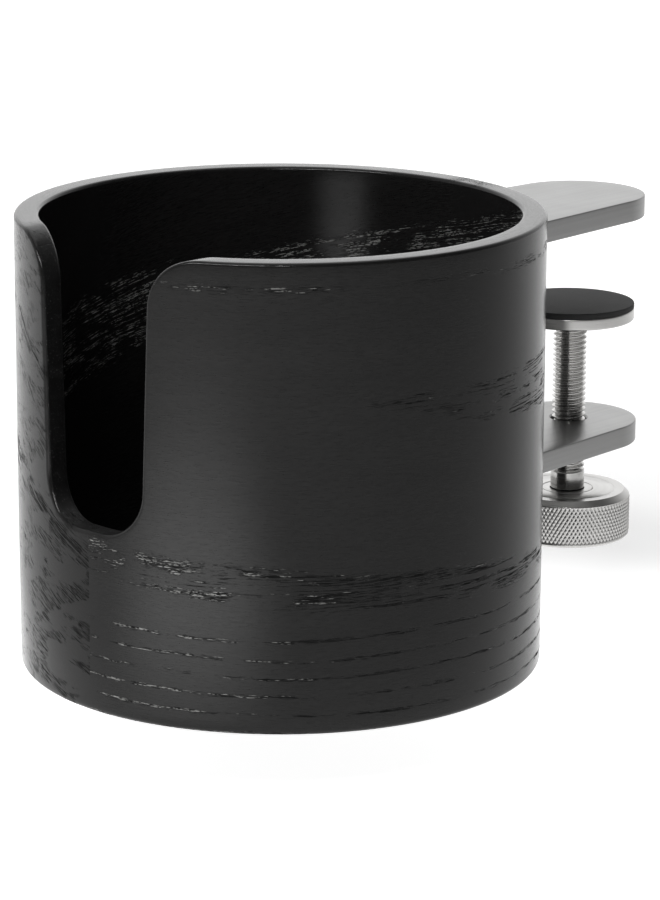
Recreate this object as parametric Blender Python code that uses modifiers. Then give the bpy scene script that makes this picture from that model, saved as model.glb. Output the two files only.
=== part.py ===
"""Desk clamp cup holder: a turned wooden cup with a handle slot, carried by a C-shaped screw clamp.

Frame: origin at the centre of the cup's underside, +Z up, +Y from the cup towards the clamp, so
the handle slot faces -Y. Everything is symmetric about the plane X = 0. Units are metres.
"""
import math

import bmesh
import bpy
from mathutils import Matrix

MM = 0.001

# ---- running values -------------------------------------------------------------------------
SEAT_GAP = 0.3 * MM          # left between pieces that touch or are cut by each other
LATHE_STEPS = 72             # facets round the cup
DISC_STEPS = 48              # facets round the pressure disc, its pad and the knob
SMALL_STEPS = 32             # facets round the small turned pieces
PIN_STEPS = 24               # facets round the fixing screws and their holes
ARC_STEPS = 8                # chords in a quarter of a drawn arc
ROUND_STEPS = 4              # chords in a quarter of a small rounding
CUT_MARGIN = 10.0 * MM       # how far a cutter runs past what it cuts

# ---- cup --------------------------------------------------------------------------------------
CUP_RADIUS = 57.5 * MM
CUP_HEIGHT = 100.0 * MM
CUP_WALL = 5.5 * MM
CUP_FLOOR = 8.0 * MM
RIM_ROUND_OUT = 1.0 * MM
RIM_ROUND_IN = 1.0 * MM
FOOT_ROUND = 1.2 * MM
FLOOR_FILLET = 3.0 * MM

# ---- handle slot ------------------------------------------------------------------------------
SLOT_BOTTOM = 39.6 * MM
SLOT_HALF_LOW = 14.0 * MM    # half width where the bottom corners end
SLOT_TAPER = math.radians(2.0)
SLOT_LOW_ROUND = 10.5 * MM
SLOT_TOP_ROUND = 11.0 * MM

# ---- clamp bracket ----------------------------------------------------------------------------
PLATE = 5.0 * MM             # thickness of the bent strip
RIM_TO_ARM = 9.5 * MM        # from the rim down to the upper arm's top
CLAMP_OPENING = 49.0 * MM    # between the two arms, without the pad
SEAT_DEPTH = 1.9 * MM        # how deep the flat seat is milled into the back of the cup
SEAT_MARGIN = 1.0 * MM       # how far the seat runs above and below the bracket
UPPER_OUT = 38.5 * MM        # from the desk-edge face to the centre of the upper arm's round end
SCREW_OUT = 37.1 * MM        # from the desk-edge face to the clamp screw, centre of the lower end
ARM_END_RADIUS = 16.0 * MM
ARM_TAPER = math.radians(3.5)
BEND_INNER = 2.0 * MM
EDGE_BREAK = 0.4 * MM
EDGE_ANGLE = math.radians(50)    # edges sharper than this are broken

# ---- screws that hold the bracket to the cup ----------------------------------------------------
FIX_OFFSET_X = 9.0 * MM
FIX_ABOVE_LOWER = 10.5 * MM  # the lower pair above the lower arm's top
FIX_BELOW_UPPER = 13.5 * MM  # the upper pair below the upper arm's underside
FIX_RADIUS = 2.0 * MM
FIX_HEAD_RADIUS = 3.8 * MM
FIX_HEAD_LAND = 0.3 * MM
FIX_HEAD_SINK = 0.4 * MM     # how far the head's face lies under the cup's inner wall
FIX_TIP_SHORT = 0.5 * MM     # how far the tip stops short of the desk-edge face

# ---- pad under the upper arm --------------------------------------------------------------------
ARM_PAD = 1.0 * MM
ARM_PAD_INSET = 4.5 * MM

# ---- clamp screw, foot and knob -------------------------------------------------------------------
THREAD_RADIUS = 4.0 * MM
FOOT_RISE = 28.25 * MM       # from the lower arm's top to the pressure pad's face, as shown
FOOT_RADIUS = 15.0 * MM
FOOT_PAD = 1.0 * MM
FOOT_DISC = 2.7 * MM
SHOULDER = 1.0 * MM          # how far the journals step in from the thread
JOURNAL_SHORT = 1.5 * MM     # how far the lower journal stops above the bush's underside
HEAD_LIP = 1.5 * MM          # how far the retaining screws' heads reach past the journals
HEAD_ROOM = 0.5 * MM         # round the foot's retaining screw in its counterbore
RECESS_DEPTH = 1.4 * MM      # counterbore that hides the foot's retaining screw
KNOB_DROP = 12.3 * MM        # from the lower arm's underside to the knob's top, as shown
KNOB_HEIGHT = 11.2 * MM
KNOB_RADIUS = 15.0 * MM
KNOB_CHAMFER = 1.4 * MM
BUSH_WALL = 2.0 * MM         # how far the bush reaches out past the thread
KNOB_COUNTERBORE = 3.2 * MM  # from the knob's underside up to the bush
SET_RADIUS = 1.5 * MM        # the two small retaining screws
SET_LENGTH = 6.0 * MM
KNOB_SET_HEAD = 2.2 * MM
DISC_SET_HEAD = 0.8 * MM

# ---- worked out from the values above -----------------------------------------------------------
CUP_INNER = CUP_RADIUS - CUP_WALL
SEAT_Y = CUP_RADIUS - SEAT_DEPTH
SPINE_IN_Y = SEAT_Y + SEAT_GAP
SPINE_OUT_Y = SPINE_IN_Y + PLATE
UPPER_REACH = SPINE_OUT_Y + UPPER_OUT
SCREW_REACH = SPINE_OUT_Y + SCREW_OUT
UPPER_ARM_TOP = CUP_HEIGHT - RIM_TO_ARM
UPPER_ARM_UNDER = UPPER_ARM_TOP - PLATE
LOWER_ARM_TOP = UPPER_ARM_UNDER - CLAMP_OPENING
LOWER_ARM_UNDER = LOWER_ARM_TOP - PLATE
FIX_LEVELS = (LOWER_ARM_TOP + FIX_ABOVE_LOWER, UPPER_ARM_UNDER - FIX_BELOW_UPPER)
JOURNAL_RADIUS = THREAD_RADIUS - SHOULDER
SET_HEAD_RADIUS = JOURNAL_RADIUS + HEAD_LIP
RECESS_RADIUS = SET_HEAD_RADIUS + HEAD_ROOM
FOOT_PAD_TOP = LOWER_ARM_TOP + FOOT_RISE
FOOT_DISC_TOP = FOOT_PAD_TOP - FOOT_PAD - SEAT_GAP
FOOT_DISC_UNDER = FOOT_DISC_TOP - FOOT_DISC
KNOB_TOP = LOWER_ARM_UNDER - KNOB_DROP
KNOB_UNDER = KNOB_TOP - KNOB_HEIGHT
BUSH_RADIUS = THREAD_RADIUS + BUSH_WALL
BUSH_UNDER = KNOB_UNDER + KNOB_COUNTERBORE


def clear_scene():
    for obj in list(bpy.data.objects):
        bpy.data.objects.remove(obj)


def collection(name):
    made = bpy.data.collections.new(name)
    bpy.context.scene.collection.children.link(made)
    return made


def material(name, colour, roughness, metallic=0.0):
    made = bpy.data.materials.new(name)
    made.use_nodes = True
    shader = made.node_tree.nodes["Principled BSDF"]
    shader.inputs["Base Color"].default_value = (*colour, 1.0)
    shader.inputs["Roughness"].default_value = roughness
    shader.inputs["Metallic"].default_value = metallic
    return made


def part(name, mesh, finish, where=(0, 0, 0)):
    """Adds a sub-part to the holder's collection."""
    obj = bpy.data.objects.new(name, mesh)
    obj.location = where
    mesh.materials.append(finish)
    PARTS.objects.link(obj)
    return obj


def cutter(name, mesh, where=(0, 0, 0)):
    """Adds a cutting shape, which is never part of the holder."""
    obj = bpy.data.objects.new(name, mesh)
    obj.location = where
    obj.hide_render = True
    obj.display_type = "WIRE"
    CUTTERS.objects.link(obj)
    return obj


def cut(target, tool):
    mod = target.modifiers.new("cut_" + tool.name, "BOOLEAN")
    mod.operation = "DIFFERENCE"
    mod.solver = "EXACT"
    mod.object = tool


def lathe(obj, steps):
    """Turns the object's profile, drawn in X and Z, round its own Z axis."""
    mod = obj.modifiers.new("lathe", "SCREW")
    mod.axis = "Z"
    mod.steps = steps
    mod.render_steps = steps
    mod.use_merge_vertices = True
    mod.merge_threshold = 0.00001


def arc(centre, radius, start, end, steps=ARC_STEPS):
    """Points of an arc, with angles in degrees anticlockwise from the first axis."""
    span = [math.radians(start + (end - start) * i / steps) for i in range(steps + 1)]
    return [(centre[0] + radius * math.cos(a), centre[1] + radius * math.sin(a)) for a in span]


def profile_mesh(name, points):
    """An open line of (radius, height) points, ready for the lathe."""
    mesh = bpy.data.meshes.new(name)
    edges = [(i, i + 1) for i in range(len(points) - 1)]
    mesh.from_pydata([(r, 0.0, z) for r, z in points], edges, [])
    return mesh


def turned(name, points, finish, where=(0, 0, 0), steps=SMALL_STEPS):
    """A turned sub-part; the points run down the outside from the top centre to the bottom centre."""
    obj = part(name, profile_mesh(name, points), finish, where)
    lathe(obj, steps)
    return obj


def solid_rod(name, points, steps=SMALL_STEPS):
    """The mesh of a turned shape, closed at both ends, made from a lathed profile."""
    obj = bpy.data.objects.new(name, profile_mesh(name, points))
    bpy.context.scene.collection.objects.link(obj)
    lathe(obj, steps)
    bpy.context.view_layer.update()
    mesh = bpy.data.meshes.new_from_object(obj.evaluated_get(bpy.context.evaluated_depsgraph_get()))
    bpy.data.objects.remove(obj)
    return mesh


def slab(name, outline, low, high):
    """The mesh of a flat outline, drawn in X and Y, filled from one height to another."""
    curve = bpy.data.curves.new(name, "CURVE")
    curve.dimensions = "2D"
    curve.fill_mode = "BOTH"
    curve.extrude = (high - low) / 2
    spline = curve.splines.new("POLY")
    spline.points.add(len(outline) - 1)
    for point, (x, y) in zip(spline.points, outline):
        point.co = (x, y, 0.0, 1.0)
    spline.use_cyclic_u = True
    obj = bpy.data.objects.new(name, curve)
    bpy.context.scene.collection.objects.link(obj)
    bpy.context.view_layer.update()
    mesh = bpy.data.meshes.new_from_object(obj.evaluated_get(bpy.context.evaluated_depsgraph_get()))
    bpy.data.objects.remove(obj)
    weld(mesh)
    mesh.transform(Matrix.Translation((0, 0, (low + high) / 2)))
    return mesh


def weld(mesh, within=1e-6):
    bm = bmesh.new()
    bm.from_mesh(mesh)
    bmesh.ops.remove_doubles(bm, verts=bm.verts, dist=within)
    bmesh.ops.recalc_face_normals(bm, faces=bm.faces)
    bm.to_mesh(mesh)
    bm.free()


def smooth(obj, angle=30):
    obj.data.shade_smooth()
    obj.data.set_sharp_from_angle(angle=math.radians(angle))


def pin_profile(radius, low, high):
    """A plain cylinder's profile, from the top centre down to the bottom centre."""
    return [(0, high), (radius, high), (radius, low), (0, low)]


# ---- the cup ------------------------------------------------------------------------------------
def cup_profile():
    """From the centre of the floor up the inner wall, over the rim, and down to the underside."""
    floor = arc((CUP_INNER - FLOOR_FILLET, CUP_FLOOR + FLOOR_FILLET), FLOOR_FILLET, -90, 0, ROUND_STEPS)
    rim_in = arc((CUP_INNER + RIM_ROUND_IN, CUP_HEIGHT - RIM_ROUND_IN), RIM_ROUND_IN, 180, 90, ROUND_STEPS)
    rim_out = arc((CUP_RADIUS - RIM_ROUND_OUT, CUP_HEIGHT - RIM_ROUND_OUT), RIM_ROUND_OUT, 90, 0, ROUND_STEPS)
    foot = arc((CUP_RADIUS - FOOT_ROUND, FOOT_ROUND), FOOT_ROUND, 0, -90, ROUND_STEPS - 1)
    return [(0, CUP_FLOOR)] + floor + rim_in + rim_out + foot + [(0, 0)]


def slot_outline():
    """The slot seen from the front: round low corners, leaning sides, and flared top corners."""
    lean = math.tan(SLOT_TAPER)
    low = (SLOT_HALF_LOW - SLOT_LOW_ROUND, SLOT_BOTTOM + SLOT_LOW_ROUND)
    top_half = SLOT_HALF_LOW + lean * (CUP_HEIGHT - SLOT_TOP_ROUND - low[1])
    flare = arc((top_half + SLOT_TOP_ROUND, CUP_HEIGHT - SLOT_TOP_ROUND), SLOT_TOP_ROUND, 180, 90)
    right = arc(low, SLOT_LOW_ROUND, -90, 0) + flare
    over = CUP_HEIGHT + CUT_MARGIN
    right = right + [(right[-1][0], over)]
    return right + [(-x, z) for x, z in reversed(right)]


def make_cup(wood):
    cup = turned("cup_body", cup_profile(), wood, steps=LATHE_STEPS)
    slot = slab("slot_cutter", slot_outline(), CUP_INNER / 2, CUP_RADIUS + CUT_MARGIN)
    slot.transform(Matrix.Rotation(math.radians(90), 4, "X"))
    cut(cup, cutter("slot_cutter", slot))
    seat = box_mesh("seat_cutter", CUP_RADIUS, SEAT_Y, CUP_RADIUS + CUT_MARGIN,
                    LOWER_ARM_UNDER - SEAT_MARGIN, UPPER_ARM_TOP + SEAT_MARGIN)
    cut(cup, cutter("seat_cutter", seat))
    for number, (x, z) in enumerate(fix_places(), 1):
        tool = solid_rod(f"countersink_{number}", fix_hole_profile(), PIN_STEPS)
        cut(cup, cutter(f"countersink_{number}", turn_to_y(tool), (x, fix_face_y(), z)))
    smooth(cup)
    return cup


def box_mesh(name, half_x, y0, y1, z0, z1):
    mesh = bpy.data.meshes.new(name)
    bm = bmesh.new()
    bmesh.ops.create_cube(bm, size=1.0)
    scale = Matrix.Diagonal((2 * half_x, y1 - y0, z1 - z0, 1.0))
    place = Matrix.Translation((0, (y0 + y1) / 2, (z0 + z1) / 2))
    bmesh.ops.transform(bm, matrix=place @ scale, verts=bm.verts)
    bm.to_mesh(mesh)
    bm.free()
    return mesh


# ---- the fixing screws --------------------------------------------------------------------------
def fix_places():
    return [(side * FIX_OFFSET_X, z) for z in FIX_LEVELS for side in (-1, 1)]


def fix_face_y():
    """Where the head's face lies: a little under the inner wall at the head's shallow side."""
    near_x = FIX_OFFSET_X - FIX_HEAD_RADIUS
    return math.sqrt(CUP_INNER**2 - near_x**2) + FIX_HEAD_SINK


def fix_profile(clearance, head_top, tip):
    """A countersunk screw along +Z from its head's face at 0, grown by a clearance."""
    head = FIX_HEAD_RADIUS + clearance
    shank = FIX_RADIUS + clearance
    cone_end = FIX_HEAD_LAND + (FIX_HEAD_RADIUS - FIX_RADIUS) + clearance
    return [(0, tip), (shank, tip), (shank, cone_end), (head, FIX_HEAD_LAND + clearance),
            (head, head_top), (0, head_top)]


def fix_hole_profile():
    return fix_profile(SEAT_GAP, -CUP_WALL, SEAT_Y - fix_face_y() + PLATE)


def turn_to_y(mesh):
    """Lays a shape that was turned about Z along +Y."""
    mesh.transform(Matrix.Rotation(math.radians(-90), 4, "X"))
    return mesh


def make_fixing_screws(steel):
    length = SPINE_OUT_Y - FIX_TIP_SHORT - fix_face_y()
    for number, (x, z) in enumerate(fix_places(), 1):
        name = f"bracket_screw_{number}"
        mesh = turn_to_y(solid_rod(name, fix_profile(0.0, 0.0, length), PIN_STEPS))
        screw = part(name, mesh, steel, (x, fix_face_y(), z))
        smooth(screw)


# ---- the bracket --------------------------------------------------------------------------------
def arm_half_width(y, reach):
    """Half the strip's width at a distance from the cup's axis: a round end, then a slow taper."""
    if y > reach:
        return math.sqrt(max(ARM_END_RADIUS**2 - (y - reach) ** 2, 0.0))
    return ARM_END_RADIUS + (reach - y) * math.tan(ARM_TAPER)


def end_stations(reach):
    """Distances from the cup's axis, from the tip back to where the round end begins."""
    steps = 2 * ARC_STEPS
    return [reach + ARM_END_RADIUS * math.cos(math.radians(90 * i / steps)) for i in range(steps + 1)]


def strip_path():
    """Stations along the bent strip: (y, z, outward normal in y and z, half width)."""
    middle = BEND_INNER + PLATE / 2
    bend_y = SPINE_IN_Y + PLATE + BEND_INNER
    top_z = UPPER_ARM_UNDER - BEND_INNER
    low_z = LOWER_ARM_TOP + BEND_INNER
    spine_half = arm_half_width(bend_y, UPPER_REACH)
    stations = []
    for y in end_stations(UPPER_REACH):
        stations.append((y, top_z + middle, 0.0, 1.0, arm_half_width(y, UPPER_REACH)))
    for i in range(ARC_STEPS + 1):
        a = math.radians(90 + 90 * i / ARC_STEPS)
        c, s = math.cos(a), math.sin(a)
        stations.append((bend_y + middle * c, top_z + middle * s, c, s, spine_half))
    for i in range(ARC_STEPS + 1):
        a = math.radians(180 + 90 * i / ARC_STEPS)
        c, s = math.cos(a), math.sin(a)
        stations.append((bend_y + middle * c, low_z + middle * s, c, s, spine_half))
    for y in reversed(end_stations(SCREW_REACH)):
        stations.append((y, low_z - middle, 0.0, -1.0, arm_half_width(y, SCREW_REACH)))
    return stations


def strip_mesh(name):
    """Lofts the strip's rectangular section along its path, closing to an edge at each tip."""
    bm = bmesh.new()
    rings = []
    for y, z, ny, nz, half in strip_path():
        ring = []
        for side, out in ((-1, 1), (1, 1), (1, -1), (-1, -1)):
            shift = out * PLATE / 2
            ring.append(bm.verts.new((side * half, y + ny * shift, z + nz * shift)))
        rings.append(ring)
    for first, second in zip(rings, rings[1:]):
        for i in range(4):
            j = (i + 1) % 4
            bm.faces.new((first[i], first[j], second[j], second[i]))
    bm.faces.new(reversed(rings[0]))
    bm.faces.new(rings[-1])
    bmesh.ops.remove_doubles(bm, verts=bm.verts, dist=1e-6)
    bmesh.ops.dissolve_degenerate(bm, edges=bm.edges, dist=1e-7)
    bmesh.ops.recalc_face_normals(bm, faces=bm.faces)
    mesh = bpy.data.meshes.new(name)
    bm.to_mesh(mesh)
    bm.free()
    return mesh


def make_bracket(metal):
    bracket = part("clamp_bracket", strip_mesh("clamp_bracket"), metal)
    edges = bracket.modifiers.new("edge_break", "BEVEL")
    edges.width = EDGE_BREAK
    edges.segments = 1
    edges.limit_method = "ANGLE"
    edges.angle_limit = EDGE_ANGLE
    hole = solid_rod("tapped_hole_cutter", pin_profile(
        THREAD_RADIUS + SEAT_GAP, LOWER_ARM_UNDER - CUT_MARGIN, LOWER_ARM_TOP + CUT_MARGIN))
    cut(bracket, cutter("tapped_hole_cutter", hole, (0, SCREW_REACH, 0)))
    for number, (x, z) in enumerate(fix_places(), 1):
        name = f"spine_hole_{number}"
        tool = solid_rod(name, pin_profile(FIX_RADIUS + SEAT_GAP, -CUT_MARGIN / 2, CUT_MARGIN),
                         PIN_STEPS)
        cut(bracket, cutter(name, turn_to_y(tool), (x, SPINE_IN_Y, z)))
    smooth(bracket)
    return bracket


def make_arm_pad(rubber):
    """A thin pad on the underside of the upper arm, set in from its edges."""
    start = SPINE_OUT_Y + BEND_INNER + ARM_PAD_INSET
    right = [(arm_half_width(y, UPPER_REACH) - ARM_PAD_INSET, y) for y in (start, UPPER_REACH)]
    round_end = arc((0, UPPER_REACH), ARM_END_RADIUS - ARM_PAD_INSET, 0, 180, 2 * ARC_STEPS)
    outline = right[:1] + round_end + [(-right[0][0], right[0][1])]
    high = UPPER_ARM_UNDER - SEAT_GAP
    part("upper_arm_pad", slab("upper_arm_pad", outline, high - ARM_PAD, high), rubber)


# ---- the clamp screw and its foot ----------------------------------------------------------------
def make_spindle(steel):
    """Threaded rod with a journal at each end and a blind hole for each retaining screw."""
    shoulder_top = FOOT_DISC_UNDER - SEAT_GAP
    journal_top = FOOT_DISC_UNDER + (FOOT_DISC - RECESS_DEPTH)
    shoulder_low = KNOB_TOP + SEAT_GAP
    journal_low = BUSH_UNDER + JOURNAL_SHORT
    bore = SET_RADIUS + SEAT_GAP
    top_hole = journal_top - SET_LENGTH - SEAT_GAP
    low_hole = BUSH_UNDER + SET_LENGTH + SEAT_GAP
    points = [(0, top_hole), (bore, top_hole), (bore, journal_top), (JOURNAL_RADIUS, journal_top),
              (JOURNAL_RADIUS, shoulder_top), (THREAD_RADIUS, shoulder_top),
              (THREAD_RADIUS, shoulder_low), (JOURNAL_RADIUS, shoulder_low),
              (JOURNAL_RADIUS, journal_low), (bore, journal_low), (bore, low_hole), (0, low_hole)]
    smooth(turned("clamp_spindle", points, steel, (0, SCREW_REACH, 0)))


def make_foot(metal, steel, rubber):
    """The pressure disc, the screw that keeps it on the spindle, and the pad that covers both."""
    where = (0, SCREW_REACH, 0)
    floor = FOOT_DISC_TOP - RECESS_DEPTH
    hole = JOURNAL_RADIUS + SEAT_GAP
    disc = [(hole, floor), (RECESS_RADIUS, floor), (RECESS_RADIUS, FOOT_DISC_TOP),
            (FOOT_RADIUS - EDGE_BREAK, FOOT_DISC_TOP), (FOOT_RADIUS, FOOT_DISC_TOP - EDGE_BREAK),
            (FOOT_RADIUS, FOOT_DISC_UNDER + EDGE_BREAK), (FOOT_RADIUS - EDGE_BREAK, FOOT_DISC_UNDER),
            (hole, FOOT_DISC_UNDER), (hole, floor)]
    smooth(turned("pressure_disc", disc, metal, where, DISC_STEPS))
    head_low = floor + SEAT_GAP
    head_top = head_low + DISC_SET_HEAD
    retaining = [(0, head_top), (SET_HEAD_RADIUS, head_top), (SET_HEAD_RADIUS, head_low),
                 (SET_RADIUS, head_low), (SET_RADIUS, floor - SET_LENGTH), (0, floor - SET_LENGTH)]
    smooth(turned("disc_screw", retaining, steel, where, PIN_STEPS))
    smooth(turned("pressure_pad", pin_profile(FOOT_RADIUS, FOOT_PAD_TOP - FOOT_PAD, FOOT_PAD_TOP),
                  rubber, where, DISC_STEPS))


def make_knob(metal, steel):
    """The knurled knob, the bush pressed into it, and the screw that ties both to the spindle."""
    where = (0, SCREW_REACH, 0)
    bore = BUSH_RADIUS + SEAT_GAP
    shelf = BUSH_UNDER - SEAT_GAP
    head_bore = SET_HEAD_RADIUS + SEAT_GAP
    knob = [(bore, shelf), (bore, KNOB_TOP), (KNOB_RADIUS - KNOB_CHAMFER, KNOB_TOP),
            (KNOB_RADIUS, KNOB_TOP - KNOB_CHAMFER), (KNOB_RADIUS, KNOB_UNDER + KNOB_CHAMFER),
            (KNOB_RADIUS - KNOB_CHAMFER, KNOB_UNDER), (head_bore, KNOB_UNDER), (head_bore, shelf),
            (bore, shelf)]
    smooth(turned("knob", knob, metal, where, DISC_STEPS))
    hole = JOURNAL_RADIUS + SEAT_GAP
    bush = [(hole, BUSH_UNDER), (hole, KNOB_TOP), (BUSH_RADIUS, KNOB_TOP), (BUSH_RADIUS, BUSH_UNDER),
            (hole, BUSH_UNDER)]
    smooth(turned("knob_bush", bush, metal, where))
    head_top = BUSH_UNDER - SEAT_GAP
    head_low = head_top - KNOB_SET_HEAD
    tip = BUSH_UNDER + SET_LENGTH
    retaining = [(0, tip), (SET_RADIUS, tip), (SET_RADIUS, head_top), (SET_HEAD_RADIUS, head_top),
                 (SET_HEAD_RADIUS, head_low), (0, head_low)]
    smooth(turned("knob_screw", retaining, steel, where, PIN_STEPS))


def main():
    wood = material("black_stained_wood", (0.035, 0.034, 0.033), 0.45)
    aluminium = material("brushed_aluminium", (0.62, 0.62, 0.62), 0.35, 1.0)
    steel = material("bright_steel", (0.55, 0.55, 0.56), 0.3, 1.0)
    rubber = material("black_rubber", (0.03, 0.03, 0.03), 0.8)
    make_cup(wood)
    make_bracket(aluminium)
    make_fixing_screws(steel)
    make_arm_pad(rubber)
    make_spindle(steel)
    make_foot(steel, steel, rubber)
    make_knob(steel, steel)


clear_scene()
PARTS = collection("desk_clamp_cup_holder")
CUTTERS = collection("cutters")
main()
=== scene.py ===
"""Desk clamp cup holder: a stained wooden cup with a handle slot, on a C-shaped screw clamp.

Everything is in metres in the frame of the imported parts: +Z up, the cup's axis at X = Y = 0,
the handle slot facing -Y and the clamp on the +Y side.
"""
import math

import bmesh
import bpy
import numpy as np
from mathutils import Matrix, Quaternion, Vector


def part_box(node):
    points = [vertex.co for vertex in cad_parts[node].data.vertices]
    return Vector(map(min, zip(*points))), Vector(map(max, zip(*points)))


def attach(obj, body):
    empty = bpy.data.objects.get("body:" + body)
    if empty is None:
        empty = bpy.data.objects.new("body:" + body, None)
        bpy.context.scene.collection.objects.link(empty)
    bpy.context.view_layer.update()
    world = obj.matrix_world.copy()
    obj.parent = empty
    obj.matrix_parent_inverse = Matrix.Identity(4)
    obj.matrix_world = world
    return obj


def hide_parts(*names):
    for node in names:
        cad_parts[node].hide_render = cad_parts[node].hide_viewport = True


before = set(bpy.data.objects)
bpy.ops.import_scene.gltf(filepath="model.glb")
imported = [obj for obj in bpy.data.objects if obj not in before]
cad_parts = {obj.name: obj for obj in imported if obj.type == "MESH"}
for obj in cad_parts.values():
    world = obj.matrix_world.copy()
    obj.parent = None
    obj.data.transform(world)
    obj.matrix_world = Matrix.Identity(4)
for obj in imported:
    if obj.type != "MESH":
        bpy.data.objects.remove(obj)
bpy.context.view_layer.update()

bl_info = {
    "name": "Desk Clamp Cup Holder",
    "version": (1, 0, 0),
    "blender": (4, 5, 0),
    "location": "View3D > Sidebar > Cup Holder",
    "description": "Builds the cup, the clamp bracket, the clamp screw and a plain studio",
    "category": "Add Mesh",
}

MM = 0.001
TURN = 2 * math.pi
WELD = 1e-6                  # points closer than this are one point
SHARP = math.radians(40)     # edges bent more than this are shaded as sharp

CUP_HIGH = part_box("cup_body")[1]
STRIP_LOW, STRIP_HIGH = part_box("clamp_bracket")
DISC_LOW, DISC_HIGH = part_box("pressure_disc")
PAD_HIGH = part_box("pressure_pad")[1]
KNOB_LOW, KNOB_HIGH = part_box("knob")
BUSH_LOW, BUSH_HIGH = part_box("knob_bush")
SPINDLE_LOW, SPINDLE_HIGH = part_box("clamp_spindle")
ARM_PAD_LOW, ARM_PAD_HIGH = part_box("upper_arm_pad")
KNOB_SCREW_LOW, KNOB_SCREW_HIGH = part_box("knob_screw")
FIXINGS = [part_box(f"bracket_screw_{number}") for number in (1, 2, 3, 4)]
SCREW_Y = (DISC_LOW.y + DISC_HIGH.y) / 2
AXIS = (0, SCREW_Y)          # of the clamp screw and of all that turns or rises with it
SEAT_GAP = 0.3 * MM          # clearance round a screw, and between pieces that rest on each other
STRIP_EDGE_Y = STRIP_LOW.y - SEAT_GAP        # the flat seat milled into the back of the cup
SPINDLE_RADIUS = SPINDLE_HIGH.x
HEAD_RADIUS, HEAD_LAND, SHANK_RADIUS = 3.8 * MM, 0.3 * MM, 2.0 * MM      # of a fixing screw
KNOB_CHAMFER = 1.4 * MM


# ---- grids and meshes ---------------------------------------------------------------------------
def mesh_of(name, *grids):
    """Quads between the neighbouring points of each grid, welded where grids and seams meet.

    A grid is (points, uv): points has rows, columns and 3 coordinates, uv rows, columns and 2.
    """
    corners, start = [], 0
    for points, _ in grids:
        rows, columns = points.shape[:2]
        index = start + np.arange(rows * columns).reshape(rows, columns)
        quads = [index[:-1, :-1], index[:-1, 1:], index[1:, 1:], index[1:, :-1]]
        corners.append(np.stack(quads, axis=-1).reshape(-1, 4))
        start += rows * columns
    corners = np.concatenate(corners)
    place = np.concatenate([points.reshape(-1, 3) for points, _ in grids])
    flat = np.concatenate([uv.reshape(-1, 2) for _, uv in grids])
    mesh = bpy.data.meshes.new(name)
    mesh.vertices.add(len(place))
    mesh.vertices.foreach_set("co", place.astype(np.float32).ravel())
    mesh.loops.add(corners.size)
    mesh.loops.foreach_set("vertex_index", corners.astype(np.int32).ravel())
    mesh.polygons.add(len(corners))
    mesh.polygons.foreach_set("loop_start", np.arange(0, corners.size, 4, dtype=np.int32))
    layer = mesh.uv_layers.new(name="UVMap")
    layer.uv.foreach_set("vector", flat[corners.ravel()].astype(np.float32).ravel())
    mesh.update(calc_edges=True)
    weld(mesh)
    return mesh


def weld(mesh):
    """Closes seams and poles, and points every face outwards."""
    shape = bmesh.new()
    shape.from_mesh(mesh)
    bmesh.ops.remove_doubles(shape, verts=shape.verts, dist=WELD)
    bmesh.ops.dissolve_degenerate(shape, edges=shape.edges, dist=WELD / 10)
    bmesh.ops.recalc_face_normals(shape, faces=shape.faces)
    shape.to_mesh(mesh)
    shape.free()


def link(name, mesh):
    obj = bpy.data.objects.new(name, mesh)
    bpy.context.scene.collection.objects.link(obj)
    return obj


def cut_out(mesh, tool):
    """The mesh with a closed shape, or several apart from each other, taken out of it."""
    target, knife = link("cut_target", mesh), link("cut_tool", tool)
    cut = target.modifiers.new("cut", "BOOLEAN")
    cut.operation, cut.solver, cut.object = "DIFFERENCE", "EXACT", knife
    bpy.context.view_layer.update()
    shown = target.evaluated_get(bpy.context.evaluated_depsgraph_get())
    made = bpy.data.meshes.new_from_object(shown)
    made.materials.clear()
    for obj in (target, knife):
        bpy.data.objects.remove(obj)
    return made


def add_piece(name, mesh, finish, body, slot, *nodes):
    """Puts a finished mesh in the scene, riding on its body and standing for its CAD nodes."""
    obj = link(name, mesh)
    mesh.materials.append(finish)
    mesh.shade_smooth()
    mesh.set_sharp_from_angle(angle=SHARP)
    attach(obj, body)
    if nodes:
        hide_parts(*nodes)
    return obj


def grid(*parts):
    """The points of a grid from their coordinates, each spread over the whole grid."""
    return np.stack(np.broadcast_arrays(*parts), axis=-1)


def swept(radius, angle, height, centre):
    """Grid points round an upright axis, the angle running clockwise from +Y as seen from above."""
    return grid(centre[0] + radius * np.sin(angle), centre[1] + radius * np.cos(angle), height)


def smooth(share):
    """Eases a share held from 0 to 1: its square times three less twice the share."""
    share = np.clip(share, 0, 1)
    return share**2 * (3 - 2 * share)


def arc(centre, radius, start, end, count):
    """Points of an arc between two angles in degrees, and the directions from its centre."""
    a = np.radians(np.linspace(start, end, count))
    out = grid(np.cos(a), np.sin(a))
    return centre + radius * out, out


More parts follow.
